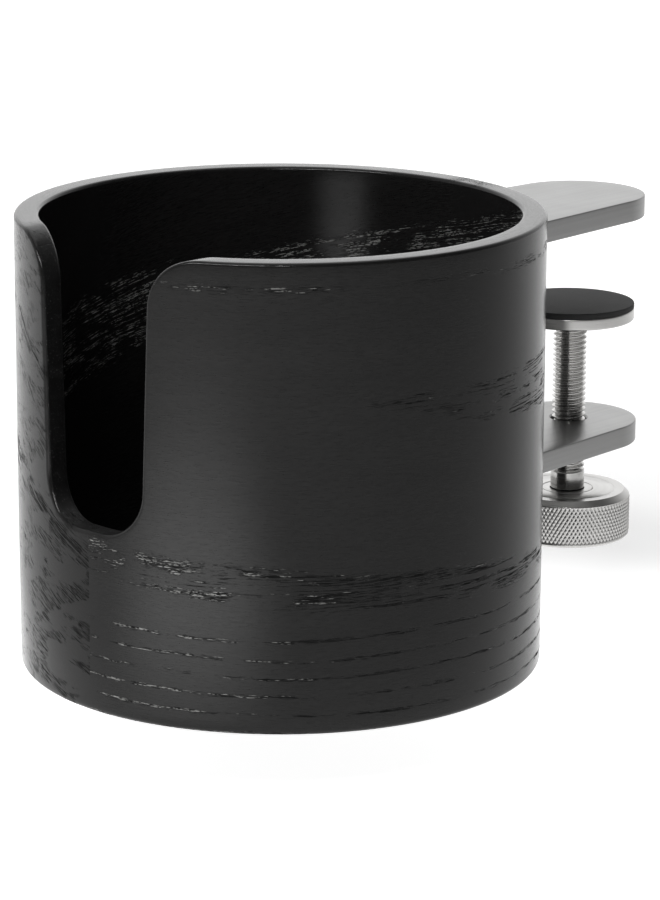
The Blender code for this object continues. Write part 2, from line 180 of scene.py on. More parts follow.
def rounded(points, radii, steps=5):
    """A line of (radius, height) points with its corners replaced by arcs.

    Each arc touches the two sides of its corner at radius * tan(half the turn) from it, and its
    points come from turning one touching normal towards the other at an even rate.
    """
    made = [np.array(points[:1], float)]
    for before, here, after, radius in zip(points, points[1:], points[2:], radii):
        before, here, after = (np.array(p, float) for p in (before, here, after))
        come = (here - before) / np.linalg.norm(here - before)
        go = (after - here) / np.linalg.norm(after - here)
        turn = math.acos(max(-1.0, min(1.0, come @ go)))
        if radius == 0 or turn < 1e-3:
            made.append(here[None])
            continue
        reach = radius * math.tan(turn / 2)
        side = np.array([-come[1], come[0]]) * math.copysign(1, come[0] * go[1] - come[1] * go[0])
        centre = here - come * reach + side * radius
        t = np.linspace(0, 1, steps + 1)[:, None]
        spokes = (-side * np.sin((1 - t) * turn) + (here + go * reach - centre) / radius
                  * np.sin(t * turn)) / math.sin(turn)
        made.append(centre + spokes * radius)
    made.append(np.array(points[-1:], float))
    return np.concatenate(made)


def turned(profile, columns, six_sided=0.0, centre=(0.0, 0.0)):
    """A profile of (radius, height) turned round a vertical axis.

    x = radius * sin(angle), y = radius * cos(angle). six_sided, from 0 to 1 for each profile
    point, draws a ring towards a hexagon: its radius is divided by the cosine of the angle from
    the middle of the nearest side. The flat coordinates run across and along the tool marks.
    """
    profile = np.asarray(profile, float)
    angle = np.linspace(0, TURN, columns + 1)[None, :]
    off = np.mod(angle + TURN / 12, TURN / 6) - TURN / 12
    share = np.broadcast_to(np.asarray(six_sided, float), len(profile))[:, None]
    radius = profile[:, :1] * (1 - share + share / np.cos(off))
    along = np.concatenate([[0], np.cumsum(np.hypot(*np.diff(profile, axis=0).T))])
    return (swept(radius, angle, profile[:, 1:], centre),
            grid(along[:, None], angle * profile[:, 0].max()))


def plate_rings(outline, spine, thickness, edge, face_rows=6):
    """A flat plate with rounded edges, as rings from one face's middle round to the other's.

    outline and spine are matching closed rows of (along, across) points; each ring of a face lies
    a share of the way from the spine to the outline less the edge radius, and the edge rings turn
    a quarter circle from each face to the side. Returns (along, across, height) and flat
    coordinates, in three grids: face, side, face.
    """
    step = np.gradient(np.concatenate([outline[-3:-1], outline, outline[1:3]]), axis=0)[2:-2]
    out = grid(step[:, 1], -step[:, 0]) / np.linalg.norm(step, axis=1)[:, None]
    out *= np.sign(np.sum(out * (outline - outline.mean(0)), axis=1).sum())
    share = np.linspace(0, 1, face_rows + 1)[:, None, None]
    face = spine + share * (outline - out * edge - spine)
    around = np.concatenate([[0], np.cumsum(np.linalg.norm(np.diff(outline, axis=0), axis=1))])
    quarter = np.linspace(0, math.pi / 2, 6)
    sink = edge * (1 - np.cos(quarter))
    sink = np.concatenate([sink, thickness - sink[::-1]])
    inset = edge * (1 - np.sin(quarter))
    inset = np.concatenate([inset, inset[::-1]])
    side = outline - out * inset[:, None, None]
    grids = []
    for flat, height in ((face, thickness / 2), (side, thickness / 2 - sink[:, None]),
                         (face[::-1], -thickness / 2)):
        uv = grid(1 + sink[:, None], around[None, :]) if flat is side else flat[..., ::-1]
        grids.append((grid(flat[..., 0], flat[..., 1], height), uv))
    return grids


# ---- node graphs --------------------------------------------------------------------------------
class Graph:
    """A material or world under construction: each method adds nodes and returns what they give."""

    def __init__(self, owner, shader):
        owner.use_nodes = True
        self.owner, self.tree = owner, owner.node_tree
        self.shader = self.tree.nodes[shader]

    def set(self, **values):
        """Sets the shader's own sockets; a socket given as the value is linked."""
        for name, value in values.items():
            self.feed(self.shader.inputs[name.replace("_", " ")], value)

    def feed(self, socket, value):
        if isinstance(value, bpy.types.NodeSocket):
            self.tree.links.new(value, socket)
        elif hasattr(socket.default_value, "__len__") and len(value) < len(socket.default_value):
            socket.default_value = (*value, 1.0)
        else:
            socket.default_value = value

    def node(self, kind, output, inputs, **settings):
        made = self.tree.nodes.new("ShaderNode" + kind)
        for name, value in settings.items():
            setattr(made, name, value)
        for key, value in inputs.items():
            self.feed(made.inputs[key], value)
        return made.outputs[output]

    def math(self, operation, *values, clamp=False):
        return self.node("Math", 0, dict(enumerate(values)), operation=operation, use_clamp=clamp)

    def scaled(self, value, by, plus):
        return self.math("MULTIPLY_ADD", value, by, plus)

    def times(self, first, second):
        return self.math("MULTIPLY", first, second)

    def plus(self, first, second):
        return self.math("ADD", first, second)

    def minus(self, first, second):
        return self.math("SUBTRACT", first, second)

    def length(self, x, y):
        """The square root of the sum of two squares."""
        return self.math("SQRT", self.plus(self.times(x, x), self.times(y, y)))

    def split(self, vector):
        made = self.tree.nodes.new("ShaderNodeSeparateXYZ")
        self.feed(made.inputs[0], vector)
        return made.outputs

    def vector(self, x, y, z=0.0):
        return self.node("CombineXYZ", 0, {0: x, 1: y, 2: z})

    def stretch(self, vector, x, y, z):
        return self.node("VectorMath", 0, {0: vector, 1: (x, y, z)}, operation="MULTIPLY")

    def noise(self, vector, detail=2.0, roughness=0.5, scale=1.0):
        return self.node("TexNoise", 0, {"Vector": vector, "Scale": scale, "Detail": detail,
                                         "Roughness": roughness})

    def span(self, value, low, high, to_low=0.0, to_high=1.0, smooth=False):
        """Maps low..high onto to_low..to_high, held at the ends."""
        kind = "SMOOTHSTEP" if smooth else "LINEAR"
        return self.node("MapRange", 0, {0: value, 1: low, 2: high, 3: to_low, 4: to_high},
                         interpolation_type=kind)

    def blend(self, share, first, second):
        """Mixes two colours."""
        made = self.tree.nodes.new("ShaderNodeMix")
        made.data_type = "RGBA"
        for index, value in ((0, share), (6, first), (7, second)):
            self.feed(made.inputs[index], value)
        return made.outputs[2]

    def curve(self, value, points):
        """A smooth curve through (position, height) points, all from 0 to 1."""
        made = self.tree.nodes.new("ShaderNodeFloatCurve")
        line = made.mapping.curves[0]
        for index, (position, height) in enumerate(points):
            if index < 2:
                line.points[index].location = (position, height)
            else:
                line.points.new(position, height)
        made.mapping.update()
        self.feed(made.inputs["Value"], value)
        return made.outputs[0]

    def bump(self, height, depth):
        return self.node("Bump", 0, {"Height": height, "Distance": depth, "Strength": 1.0})

    def facing(self, vector, way):
        """How far a vector goes in a direction."""
        return self.node("VectorMath", "Value", {0: vector, 1: way}, operation="DOT_PRODUCT")


def new_finish(name):
    return Graph(bpy.data.materials.new(name), "Principled BSDF")


# Where the wood's pores are open. Each band has two curves of the turn round the cup, which is 0
# and 1 at the slot and a half at the back: its middle's height in units of 100 mm, and its half
# width in units of 10 mm. The last number is the softness of its edges in millimetres.
BANDS = {
    "dense": ([(0, 0.34), (0.25, 0.26), (0.5, 0.20), (0.64, 0.262), (0.72, 0.282), (0.789, 0.295),
               (0.885, 0.322), (0.96, 0.336), (1, 0.352)],
              [(0, 0.30), (0.5, 0.3), (0.64, 0.22), (0.72, 0.36), (0.8, 0.42), (1, 0.38)], 0.9),
    "streaked": ([(0, 0.62), (0.3, 0.58), (0.5, 0.62), (0.667, 0.668), (0.72, 0.676), (0.76, 0.682),
                  (0.83, 0.70), (1, 0.74)],
                 [(0, 0.1), (0.15, 0.3), (0.5, 0.6), (0.667, 0.62), (0.72, 0.56), (0.778, 0.34),
                  (0.82, 0.1), (0.85, 0.0), (1, 0.0)], 1.0),
    "rim": ([(0, 0.95), (0.8, 0.947), (1, 0.947)],
            [(0, 0.05), (0.66, 0.14), (0.72, 0.10), (0.8, 0.07), (0.9, 0.1), (0.96, 0.05),
             (1, 0.0)], 0.6),
    "lining": ([(0, 0.85), (0.25, 0.85), (0.36, 0.86), (0.5, 0.86), (1, 0.85)],
               [(0, 0.9), (0.25, 1.0), (0.34, 0.5), (0.5, 0.45), (0.7, 0.6), (1, 0.6)], 1.5),
}
# how far the fibres have climbed by each share of the turn, in units of 100 mm
CLIMB = [(0, 0), (0.055, 0.10), (0.11, 0.185), (0.2, 0.205), (0.4, 0.11), (0.6, 0.005), (0.8, 0.0),
         (1, 0.0)]
RING_STEP = 4.15             # millimetres between the growth rings near the foot
RINGS_END = 22.5             # the height in millimetres where they stop
LEFT_SIDE = 0.15             # share of the turn where the fibres climb steeply


def stained_wood(look, wall):
    """Black stained, lacquered bent wood, with the fibres running round the cup.

    The pattern is laid in millimetres on (distance round the cup, height, radius), from the
    object's own coordinates: the angle is the two-argument arctangent of X and Y. The open pores
    are cells stretched along the fibres, each dark within a distance of its point. That distance
    grows with a density, made of bands, growth rings and clusters. Some pores are painted lighter,
    standing in for glints of light.
    """
    f = new_finish("wood_finish")
    x, y, z = f.split(f.node("TexCoord", "Object", {}))
    angle = f.math("ARCTAN2", x, y)
    turn = f.scaled(angle, 1 / TURN, 0.5)
    middle_deep = (CUP_HIGH.x - wall / 2) / MM
    along = f.times(angle, CUP_HIGH.x / MM)
    up = f.math("DIVIDE", z, MM)
    deep = f.math("DIVIDE", f.length(x, y), MM)
    rise = f.times(f.times(f.curve(turn, CLIMB), 100), f.span(up, 0, 90, 0.6, 1.4))
    within = f.math("LESS_THAN", deep, (CUP_HIGH.x - wall) / MM + 0.2)
    rise = f.node("Mix", 0, {0: within, 2: rise, 3: f.scaled(turn, 70.0, -35.0)})
    straight = f.vector(along, up, deep)
    sway = f.noise(f.stretch(straight, 1 / 38, 1 / 14, 1 / 14), detail=1.0)
    level = f.plus(f.minus(up, rise), f.scaled(sway, 2.4, -1.2))
    grain = f.vector(along, level, deep)

    def band(name):
        """1 within a band of heights whose middle and half width follow curves of the turn."""
        centre, half, soft = BANDS[name]
        edge = f.times(f.curve(turn, half), 10)
        off = f.math("ABSOLUTE", f.minus(level, f.times(f.curve(turn, centre), 100)))
        return f.times(f.span(f.minus(edge, off), -soft, soft), f.math("GREATER_THAN", edge, 0.05))

    phase = f.plus(level, f.scaled(turn, -1.8, 1.5))
    off_line = f.math("PINGPONG", f.math("DIVIDE", phase, RING_STEP), 0.5)
    rings = f.times(f.span(off_line, 0.05, 0.15, 1.0, 0.0),
                    f.span(level, RINGS_END, RINGS_END + 1.5, 1.0, 0.0))
    patchy = f.noise(f.stretch(straight, 1 / 9, 1 / 3.5, 1 / 3.5), detail=1.0)
    rows = f.noise(f.stretch(grain, 1 / 55, 1 / 0.55, 1 / 2), detail=1.0)
    rows = f.span(rows, 0.37, 0.48)
    ragged = f.scaled(f.minus(patchy, 0.5), 0.12, turn)
    clusters = f.times(f.span(turn, 0.005, 0.16, 0.85, 0.1),
                       f.times(f.span(patchy, 0.42, 0.56, smooth=True), f.span(ragged, 0.0, 0.012)))
    on_left = f.math("LESS_THAN", turn, LEFT_SIDE)
    rings = f.times(rings, f.minus(1.0, f.times(on_left, 0.85)))
    banded = f.times(f.math("MAXIMUM", band("dense"), f.times(band("streaked"), 0.95)), rows)
    outer = f.math("MAXIMUM", f.math("MAXIMUM", banded, rings),
                   f.math("MAXIMUM", clusters, f.times(band("rim"), 0.75)))
    inner = f.times(f.times(band("lining"), rows), 0.95)
    density = f.times(f.node("Mix", 0, {0: within, 2: outer, 3: inner}),
                      f.span(patchy, 0.34, 0.50, 0.25, 1.0))

    # painted glints: the share of pores painted lighter than the stain, most on the +X side near
    # the slot and inside
    glint_share = f.math("MAXIMUM", f.span(turn, 0.84, 0.93, 0.03, 0.8), f.times(within, 0.8))
    glint_share = f.times(glint_share, f.minus(1.0, f.times(on_left, f.minus(1.0, within))))
    glint_cut = f.minus(1.0, glint_share)
    broken = f.span(f.noise(f.stretch(grain, 1 / 0.8, 1 / 0.3, 1 / 0.3), detail=1.0), 0.42, 0.56)

    def pores(length, width, reach):
        """Pointed dashes: stretched cells, each darkened within a distance of its point; some are
        painted lighter as glints.
        """
        cell = f.tree.nodes.new("ShaderNodeTexVoronoi")
        f.feed(cell.inputs["Vector"], f.stretch(grain, 1 / length, 1 / width, 1 / width))
        cell.inputs["Scale"].default_value = 1.0
        lot = f.tree.nodes.new("ShaderNodeSeparateColor")
        f.feed(lot.inputs[0], cell.outputs["Color"])
        radius = f.times(density, f.scaled(lot.outputs[0], reach, reach * 0.5))
        inside = f.minus(radius, cell.outputs["Distance"])
        glint_fill = f.times(f.times(f.span(inside, 0.06, 0.16), broken),
                         f.math("GREATER_THAN", lot.outputs[1], glint_cut))
        return f.span(inside, 0.0, 0.05), glint_fill

    long_pore, long_glint = pores(6.0, 0.17, 0.46)
    short_pore, short_glint = pores(2.6, 0.14, 0.46)
    pore = f.math("MAXIMUM", long_pore, short_pore)
    lacquer_glint = f.math("MAXIMUM", long_glint, short_glint)
    fibre = f.noise(f.stretch(grain, 1 / 2.2, 1 / 0.15, 1 / 0.3), detail=3.0, roughness=0.7)
    cloud = f.noise(f.stretch(grain, 1 / 30, 1 / 6, 1 / 8), detail=2.0)

    tone = f.blend(f.span(cloud, 0.3, 0.7), look.stain, tuple(c * 1.3 for c in look.stain))
    tone = f.blend(f.span(fibre, 0.35, 0.65, 0.0, 1.0), tone, tuple(c * 0.5 for c in look.stain))
    tone = f.blend(pore, tone, (0.0008, 0.0008, 0.0008))
    # painted glints: some pores painted lighter than the stain, standing in for light caught in
    # them
    tone = f.blend(lacquer_glint, tone, look.lacquer_glint)
    # the cut faces of the slot lie between the two skins of the wall, clear of floor and rim
    cut_edge = f.math("LESS_THAN", f.math("ABSOLUTE", f.minus(deep, middle_deep)), 2.2)
    jamb = f.times(f.times(cut_edge, f.math("LESS_THAN", up, CUP_HIGH.z / MM - 3)),
                   f.math("GREATER_THAN", up, 12.0))
    specks = f.noise(f.stretch(straight, 1 / 0.35, 1 / 0.35, 1 / 0.35), detail=1.0)
    ends = f.blend(f.span(specks, 0.66, 0.74), (0.002, 0.002, 0.002), (0.06, 0.06, 0.06))
    shine = f.scaled(f.span(fibre, 0.3, 0.7), 0.12, 0.12)
    shine = f.plus(shine, f.times(f.minus(pore, lacquer_glint), 0.8))
    shine = f.plus(shine, f.scaled(jamb, 0.3, f.times(within, -0.05)))
    relief = f.plus(f.times(pore, -1.0), f.times(fibre, 0.12))
    f.set(Base_Color=f.blend(jamb, tone, ends), Roughness=shine, Specular_IOR_Level=0.17,
          Normal=f.bump(relief, 0.13 * MM))
    return f.owner


def brushed_metal(name, colour, roughness, mark, depth, uneven):
    """Metal with fine tool marks: noise stretched along the flat map's second coordinate.

    mark is the width of one mark, depth its relief, and uneven how much the roughness wanders.
    """
    f = new_finish(name)
    flat = f.node("UVMap", 0, {}, uv_map="UVMap")
    lines = f.noise(f.stretch(flat, 1 / mark, 1 / (mark * 160), 1.0), detail=3.0, roughness=0.65)
    broad = f.noise(f.stretch(flat, 1 / (mark * 9), 1 / (mark * 900), 1.0), detail=1.0)
    body = f.node("TexCoord", "Object", {})
    worn = f.noise(body, detail=2.0, scale=90.0)
    both = f.scaled(broad, 0.5, f.times(lines, 0.5))
    tone = f.blend(f.span(both, 0.3, 0.7), tuple(c * 0.82 for c in colour), colour)
    shine = f.scaled(lines, uneven, roughness - uneven / 2)
    shine = f.plus(shine, f.scaled(worn, 0.08, -0.04))
    f.set(Base_Color=tone, Roughness=shine, Normal=f.bump(lines, depth), Metallic=1.0)
    return f.owner


def moulded_rubber(name, colour):
    """Matt rubber with a fine sanded grain and slow patches of wear."""
    f = new_finish(name)
    body = f.node("TexCoord", "Object", {})
    grit = f.noise(body, detail=3.0, roughness=0.7, scale=2600.0)
    wear = f.noise(body, detail=2.0, scale=160.0)
    share = f.span(f.scaled(wear, 0.7, f.times(grit, 0.5)), 0.35, 0.85)
    f.set(Base_Color=f.blend(share, tuple(c * 0.7 for c in colour), tuple(c * 1.5 for c in colour)),
          Roughness=f.scaled(grit, 0.2, 0.62), Normal=f.bump(grit, 0.05 * MM),
          Specular_IOR_Level=0.25)
    return f.owner


def studio_white(name):
    """Pale matt paper with a barely seen mottle, which is clear when it is looked at from below,
    and a painted glow.
    """
    f = new_finish(name)
    body = f.node("TexCoord", "Object", {})
    mottle = f.noise(body, detail=3.0, scale=40.0)

    def towards(azimuth, near, far, most):
        """Grows from 0 to most between two distances in a direction."""
        return f.span(f.facing(body, around(azimuth, 0, 1.0, 0)), near, far, 0.0, most, smooth=True)

    def pool(azimuth, distance, radius, most):
        """A soft round pool of light on the floor."""
        off = f.node("VectorMath", "Value", {0: body, 1: around(azimuth, 0, distance, 0)},
                     operation="DISTANCE")
        return f.span(off, radius / 3, radius, most, 0.0, smooth=True)

    # painted light: the floor glows a little everywhere, more towards the back and the -X front, in
    # a bright pool in front of the slot, a faint one behind the cup, and one under it that lifts
    # its shadow
    glow = f.plus(f.plus(towards(-60, 0.0, 0.3, 0.05), towards(BACK_LIGHT, 0.10, 0.6, 0.40)),
                  f.plus(pool(11, 0.235, 0.15, 3.7), pool(170, 0.11, 0.10, 0.2)))
    glow = f.plus(glow, f.plus(pool(0, 0.0, 0.18, 0.80), 0.12))
    seen_from = f.split(f.node("NewGeometry", "Incoming", {}))[2]
    f.set(Base_Color=f.blend(mottle, (0.86, 0.86, 0.86), (0.90, 0.90, 0.90)), Roughness=0.9,
          Emission_Color=(1.0, 1.0, 1.0), Emission_Strength=glow,
          Alpha=f.math("GREATER_THAN", seen_from, 0.0))
    return f.owner


def ringed_steel(name):
    """Turned steel whose marks follow the distance from the clamp screw's axis."""
    f = new_finish(name)
    body = f.node("TexCoord", "Object", {})
    x, y, z = f.split(f.node("Mapping", 0, {"Vector": body, "Location": (0, -SCREW_Y, 0)}))
    lines = f.noise(f.stretch(f.vector(f.length(x, y), z), 6000, 6000, 1), detail=3.0)
    f.set(Base_Color=f.blend(lines, (0.46, 0.455, 0.45), (0.62, 0.61, 0.60)),
          Roughness=f.scaled(lines, 0.15, 0.2), Metallic=1.0)
    return f.owner


def finish(name, make, *values):
    """A finish by name, made the first time that it is asked for."""
    return bpy.data.materials.get(name) or make(*values)


# the look's colour, roughness, width of a tool mark, its relief, and how much the roughness wanders
METALS = {"aluminium": ("aluminium", 0.36, 0.12 * MM, 0.006 * MM, 0.16),
          "steel": ("steel", 0.30, 0.16 * MM, 0.006 * MM, 0.16),
          "bright": ("steel", 0.24, 0.12 * MM, 0.003 * MM, 0.10)}


def metal(kind):
    """One of the brushed metals, in its colour from the panel."""
    colour, *values = METALS[kind]
    colour = tuple(getattr(bpy.context.scene.cup_holder_look, colour))
    return finish(kind + "_finish", brushed_metal, kind + "_finish", colour, *values)


def rubber():
    look = bpy.context.scene.cup_holder_look
    return finish("rubber_finish", moulded_rubber, "rubber_finish", tuple(look.rubber))


# ---- what a user may change ---------------------------------------------------------------------
def size(name, about, value):
    return bpy.props.FloatProperty(name=name, description=about, default=value, min=0.0,
                                   unit="LENGTH", subtype="DISTANCE", precision=5)


def tint(name, about, value):
    return bpy.props.FloatVectorProperty(name=name, description=about, default=value, size=3,
                                         min=0.0, max=1.0, subtype="COLOR")


class CupHolderSizes(bpy.types.PropertyGroup):
    """Sizes that the pieces are built to."""
    wall: size("Cup wall", "Thickness of the cup's wall", 5.5 * MM)
    floor: size("Cup floor", "Height of the cup's floor above its underside", 8.0 * MM)
    rim_round: size("Rim round", "Radius of the rim's rounded edges", 0.8 * MM)
    slot_round: size("Slot round", "Radius of the handle slot's rounded edges", 1.1 * MM)
    slot_level: size("Slot bottom", "Height of the handle slot's lowest edge", 39.6 * MM)
    slot_half: size("Slot half width", "Half the slot's width above its low corners", 14.0 * MM)
    plate: size("Plate", "Thickness of the bent strip", 5.0 * MM)
    arm_end: size("Arm end", "Radius of the arms' round ends", 16.0 * MM)
    plate_edge: size("Plate edge", "Radius that the strip's edges are rounded to", 0.30 * MM)
    pitch: size("Thread pitch", "Rise of the clamp screw in one turn", 1.25 * MM)
    thread_depth: size("Thread depth", "Depth of the clamp screw's thread", 0.68 * MM)
    knurl_depth: size("Knurl depth", "Depth of the knob's knurling", 0.34 * MM)
    knurl_teeth: bpy.props.IntProperty(name="Knurl teeth", description="Teeth round the knob",
                                       default=96, min=24, max=160)


class CupHolderLook(bpy.types.PropertyGroup):
    """Colours of the finishes."""
    stain: tint("Stain", "Colour of the stained wood", (0.0075, 0.0074, 0.0073))
    # painted glints: the colour of the pores painted lighter, standing in for glints of light
    lacquer_glint: tint("Lacquer", "Colour of the lacquer caught in some pores", (0.17, 0.17, 0.165))
    aluminium: tint("Aluminium", "Colour of the clamp bracket", (0.26, 0.26, 0.258))
    steel: tint("Steel", "Colour of the turned parts", (0.50, 0.495, 0.485))
    rubber: tint("Rubber", "Colour of the pads", (0.013, 0.013, 0.013))


# ---- the cup ------------------------------------------------------------------------------------
SLOT_LEAN = math.radians(2.0)
SLOT_LOW_ROUND = 10.5 * MM
SLOT_TOP_ROUND = 11.0 * MM
FOOT_ROUND = 1.2 * MM
FLOOR_FILLET = 3.0 * MM
SEAT_MARGIN = 1.0 * MM
SEAT_STEP = 0.0006           # share of the wall's height in which the seat's end steps back
FAN_END = math.radians(75)   # beyond this angle from the slot, the cup's columns are upright
EASE_FROM, EASE_OVER = math.radians(14), math.radians(12)  # slot's rounding turns into the rim's
SIDES_TO, SIDES_FADE = math.radians(30), math.radians(30)  # the cut runs straight, then fades


def cup_edge(sizes):
    """The cup's upper edge from the slot's middle to the back, for the +X side.

    Runs along the slot's bottom, round its low corner, up its leaning side, over the flared top
    corner and round the rim. Returns the angle from the slot's middle, the height, the direction
    into the wood as (sideways, up), and the length along the edge.
    """
    radius, top = CUP_HIGH.x, CUP_HIGH.z
    low = np.array([sizes.slot_half - SLOT_LOW_ROUND, sizes.slot_level + SLOT_LOW_ROUND])
    high = np.array([sizes.slot_half + math.tan(SLOT_LEAN) * (top - SLOT_TOP_ROUND - low[1])
                     + SLOT_TOP_ROUND, top - SLOT_TOP_ROUND])
    corner, into_corner = arc(low, SLOT_LOW_ROUND, -90, 0, 17)
    flare, from_flare = arc(high, SLOT_TOP_ROUND, 180, 90, 19)
    t = np.linspace(0, 1, 6)[:-1, None]
    bottom = corner[0] * np.array([0, 1]) + t * corner[0] * np.array([1, 0])
    t = np.linspace(0, 1, 30)[1:-1, None]
    side = corner[-1] + t * (flare[0] - corner[-1])
    into_side = np.broadcast_to([math.cos(SLOT_LEAN), -math.sin(SLOT_LEAN)], side.shape)
    seat = math.pi - math.acos(STRIP_EDGE_Y / radius)
    start = math.asin(flare[-1, 0] / radius)
    rim = np.concatenate([np.linspace(start, seat, 110)[1:], np.linspace(seat, math.pi, 14)[1:]])
    path = np.concatenate([bottom, corner, side, flare])
    into = np.concatenate([np.broadcast_to([0.0, -1.0], bottom.shape), into_corner, into_side,
                           -from_flare, np.broadcast_to([0.0, -1.0], (len(rim), 2))])
    angle = np.concatenate([np.arcsin(path[:, 0] / radius), rim])
    height = np.concatenate([path[:, 1], np.full(len(rim), top)])
    length = np.concatenate([[0], np.cumsum(np.hypot(np.diff(angle) * radius, np.diff(height)))])
    return angle, height, into, length


def cup_grid(sizes):
    """The whole cup as one closed grid, from the underside's centre to the floor's centre.

    Columns fan up the outer wall to the points of the upper edge: angle and height run in a
    straight line from the foot to the edge. Rows then cross the rounded edge and go down the
    inner wall. Near the slot a column keeps its sideways distance through the wall, so the slot
    is cut straight; further round it keeps its angle. The back is held to the flat seat.
    """
    radius, inner = CUP_HIGH.x, CUP_HIGH.x - sizes.wall
    angle, height, into, length = cup_edge(sizes)
    fan = np.interp(FAN_END, angle, length)
    foot = np.where(angle < FAN_END, FAN_END * length / fan, angle)
    ease = sizes.slot_round + (sizes.rim_round - sizes.slot_round) * smooth(
        (angle - EASE_FROM) / EASE_OVER)
    angle, foot = (np.concatenate([v, TURN - v[-2::-1]]) for v in (angle, foot))
    height, ease = (np.concatenate([v, v[-2::-1]]) for v in (height, ease))
    into = np.concatenate([into, into[-2::-1] * [-1, 1]])

    def rings(line):
        """Rows of the foot's angles, one for each (radius, height) point of a line."""
        return [np.broadcast_to(part, (len(line), len(foot)))
                for part in (foot, line[:, 1:], line[:, :1])]

    def at(inset, depth):
        """The point a distance into the wood from the edge, at a depth under the outer wall."""
        spot = angle + into[:, 0] * inset / (radius * np.cos(np.where(into[:, 0] == 0, 0, angle)))
        return spot, height + into[:, 1] * inset, np.broadcast_to(radius - depth, spot.shape)

    quarter = np.linspace(0, math.pi / 2, 9)[:, None]
    edge = [at(ease * (1 - np.sin(q)), ease * (1 - np.cos(q))) for q in quarter]
    edge += [at(0, ease + (sizes.wall - 2 * ease) * t) for t in (0.33, 0.67)]
    edge += [at(ease * (1 - np.cos(q)), sizes.wall - ease + ease * np.sin(q)) for q in quarter]
    edge = [np.stack(rows) for rows in zip(*edge)]

    seat_rows = [(z - FOOT_ROUND) / (CUP_HIGH.z - sizes.rim_round - FOOT_ROUND)
                 for z in (STRIP_LOW.z - SEAT_MARGIN, STRIP_HIGH.z + SEAT_MARGIN)]
    t = np.concatenate([np.linspace(0, 1, 46)[:-1], [seat_rows[0] - SEAT_STEP, seat_rows[0],
                                                    seat_rows[1], seat_rows[1] + SEAT_STEP]])
    t = np.sort(t)[:, None]
    wall = (foot + t * (edge[0][0] - foot), FOOT_ROUND + t * (edge[1][0] - FOOT_ROUND),
            np.broadcast_to(radius, (len(t), len(foot))))
    base = rounded([(0, 0), (radius, 0), (radius, FOOT_ROUND + MM)], [FOOT_ROUND], 5)[:-1]
    base = np.concatenate([np.linspace((0, 0), base[1], 10)[:-1], base[1:-1]])
    level = sizes.floor + FLOOR_FILLET
    t = np.linspace(0, 1, 36)[1:, None]
    lining = (edge[0][-1] + t * (foot - edge[0][-1]), edge[1][-1] + t * (level - edge[1][-1]),
              np.broadcast_to(inner, (len(t), len(foot))))
    bowl = rounded([(inner, level), (inner, sizes.floor), (0, sizes.floor)], [FLOOR_FILLET], 6)[2:]
    bowl = np.concatenate([bowl[:-1], np.linspace(bowl[-2], bowl[-1], 12)[1:]])
    parts = rings(base), wall, edge, lining, rings(bowl)
    spot, z, r = (np.concatenate(rows) for rows in zip(*parts))

    near = np.where(spot > math.pi, spot - TURN, spot)
    straight = smooth(1 - (np.abs(near) - SIDES_TO) / SIDES_FADE) * (r > inner - MM)
    bent = np.arcsin(np.clip(radius * np.sin(near) / np.maximum(r, inner), -1, 1))
    spot = np.where(straight > 0, near + straight * (bent - near), near)
    x, y = r * np.sin(spot), -r * np.cos(spot)
    in_seat = (z > STRIP_LOW.z - SEAT_MARGIN - 1e-7) & (z < STRIP_HIGH.z + SEAT_MARGIN + 1e-7)
    y = np.where(in_seat & (r > inner + MM), np.minimum(y, STRIP_EDGE_Y), y)
    return grid(x, y, z), grid(r, spot * radius)


def to_back(points, place):
    """Lays a shape turned round Z along +Y, with its top at the far end."""
    x, y, z = np.moveaxis(points, -1, 0)
    return grid(place[0] + x, place[1] + z, place[2] - y)


def fixing_profile(clearance, start, length):
    """A countersunk screw's outline from its head's face at 0 to its tip, grown by a clearance."""
    head, shank = HEAD_RADIUS + clearance, SHANK_RADIUS + clearance
    cone = HEAD_LAND + HEAD_RADIUS - SHANK_RADIUS + clearance
    return [(0, start), (head, start), (head, HEAD_LAND + clearance), (shank, cone),
            (shank, length), (0, length)]


def fixing_place(low, high):
    """The middle of a fixing screw's head, from its box."""
    return (low.x + high.x) / 2, low.y, (low.z + high.z) / 2


class CUPHOLDER_OT_cup(bpy.types.Operator):
    """Build the wooden cup with its handle slot, clamp seat and countersunk holes"""
    bl_idname = "cup_holder.cup"
    bl_label = "Cup"

    def execute(self, context):
        sizes, look = context.scene.cup_holder_sizes, context.scene.cup_holder_look
        holes = []
        for low, high in FIXINGS:
            points, uv = turned(fixing_profile(SEAT_GAP, -6 * MM, 20 * MM), 32)
            holes.append((to_back(points, fixing_place(low, high)), uv))
        mesh = cut_out(mesh_of("cup", cup_grid(sizes)), mesh_of("holes", *holes))
        add_piece("cup", mesh, finish("wood_finish", stained_wood, look, sizes.wall), "root",
                  "black_stained_wood", "cup_body")
        return {"FINISHED"}


# ---- the bracket --------------------------------------------------------------------------------
BEND_INNER = 2.0 * MM
ARM_TAPER = math.radians(3.5)


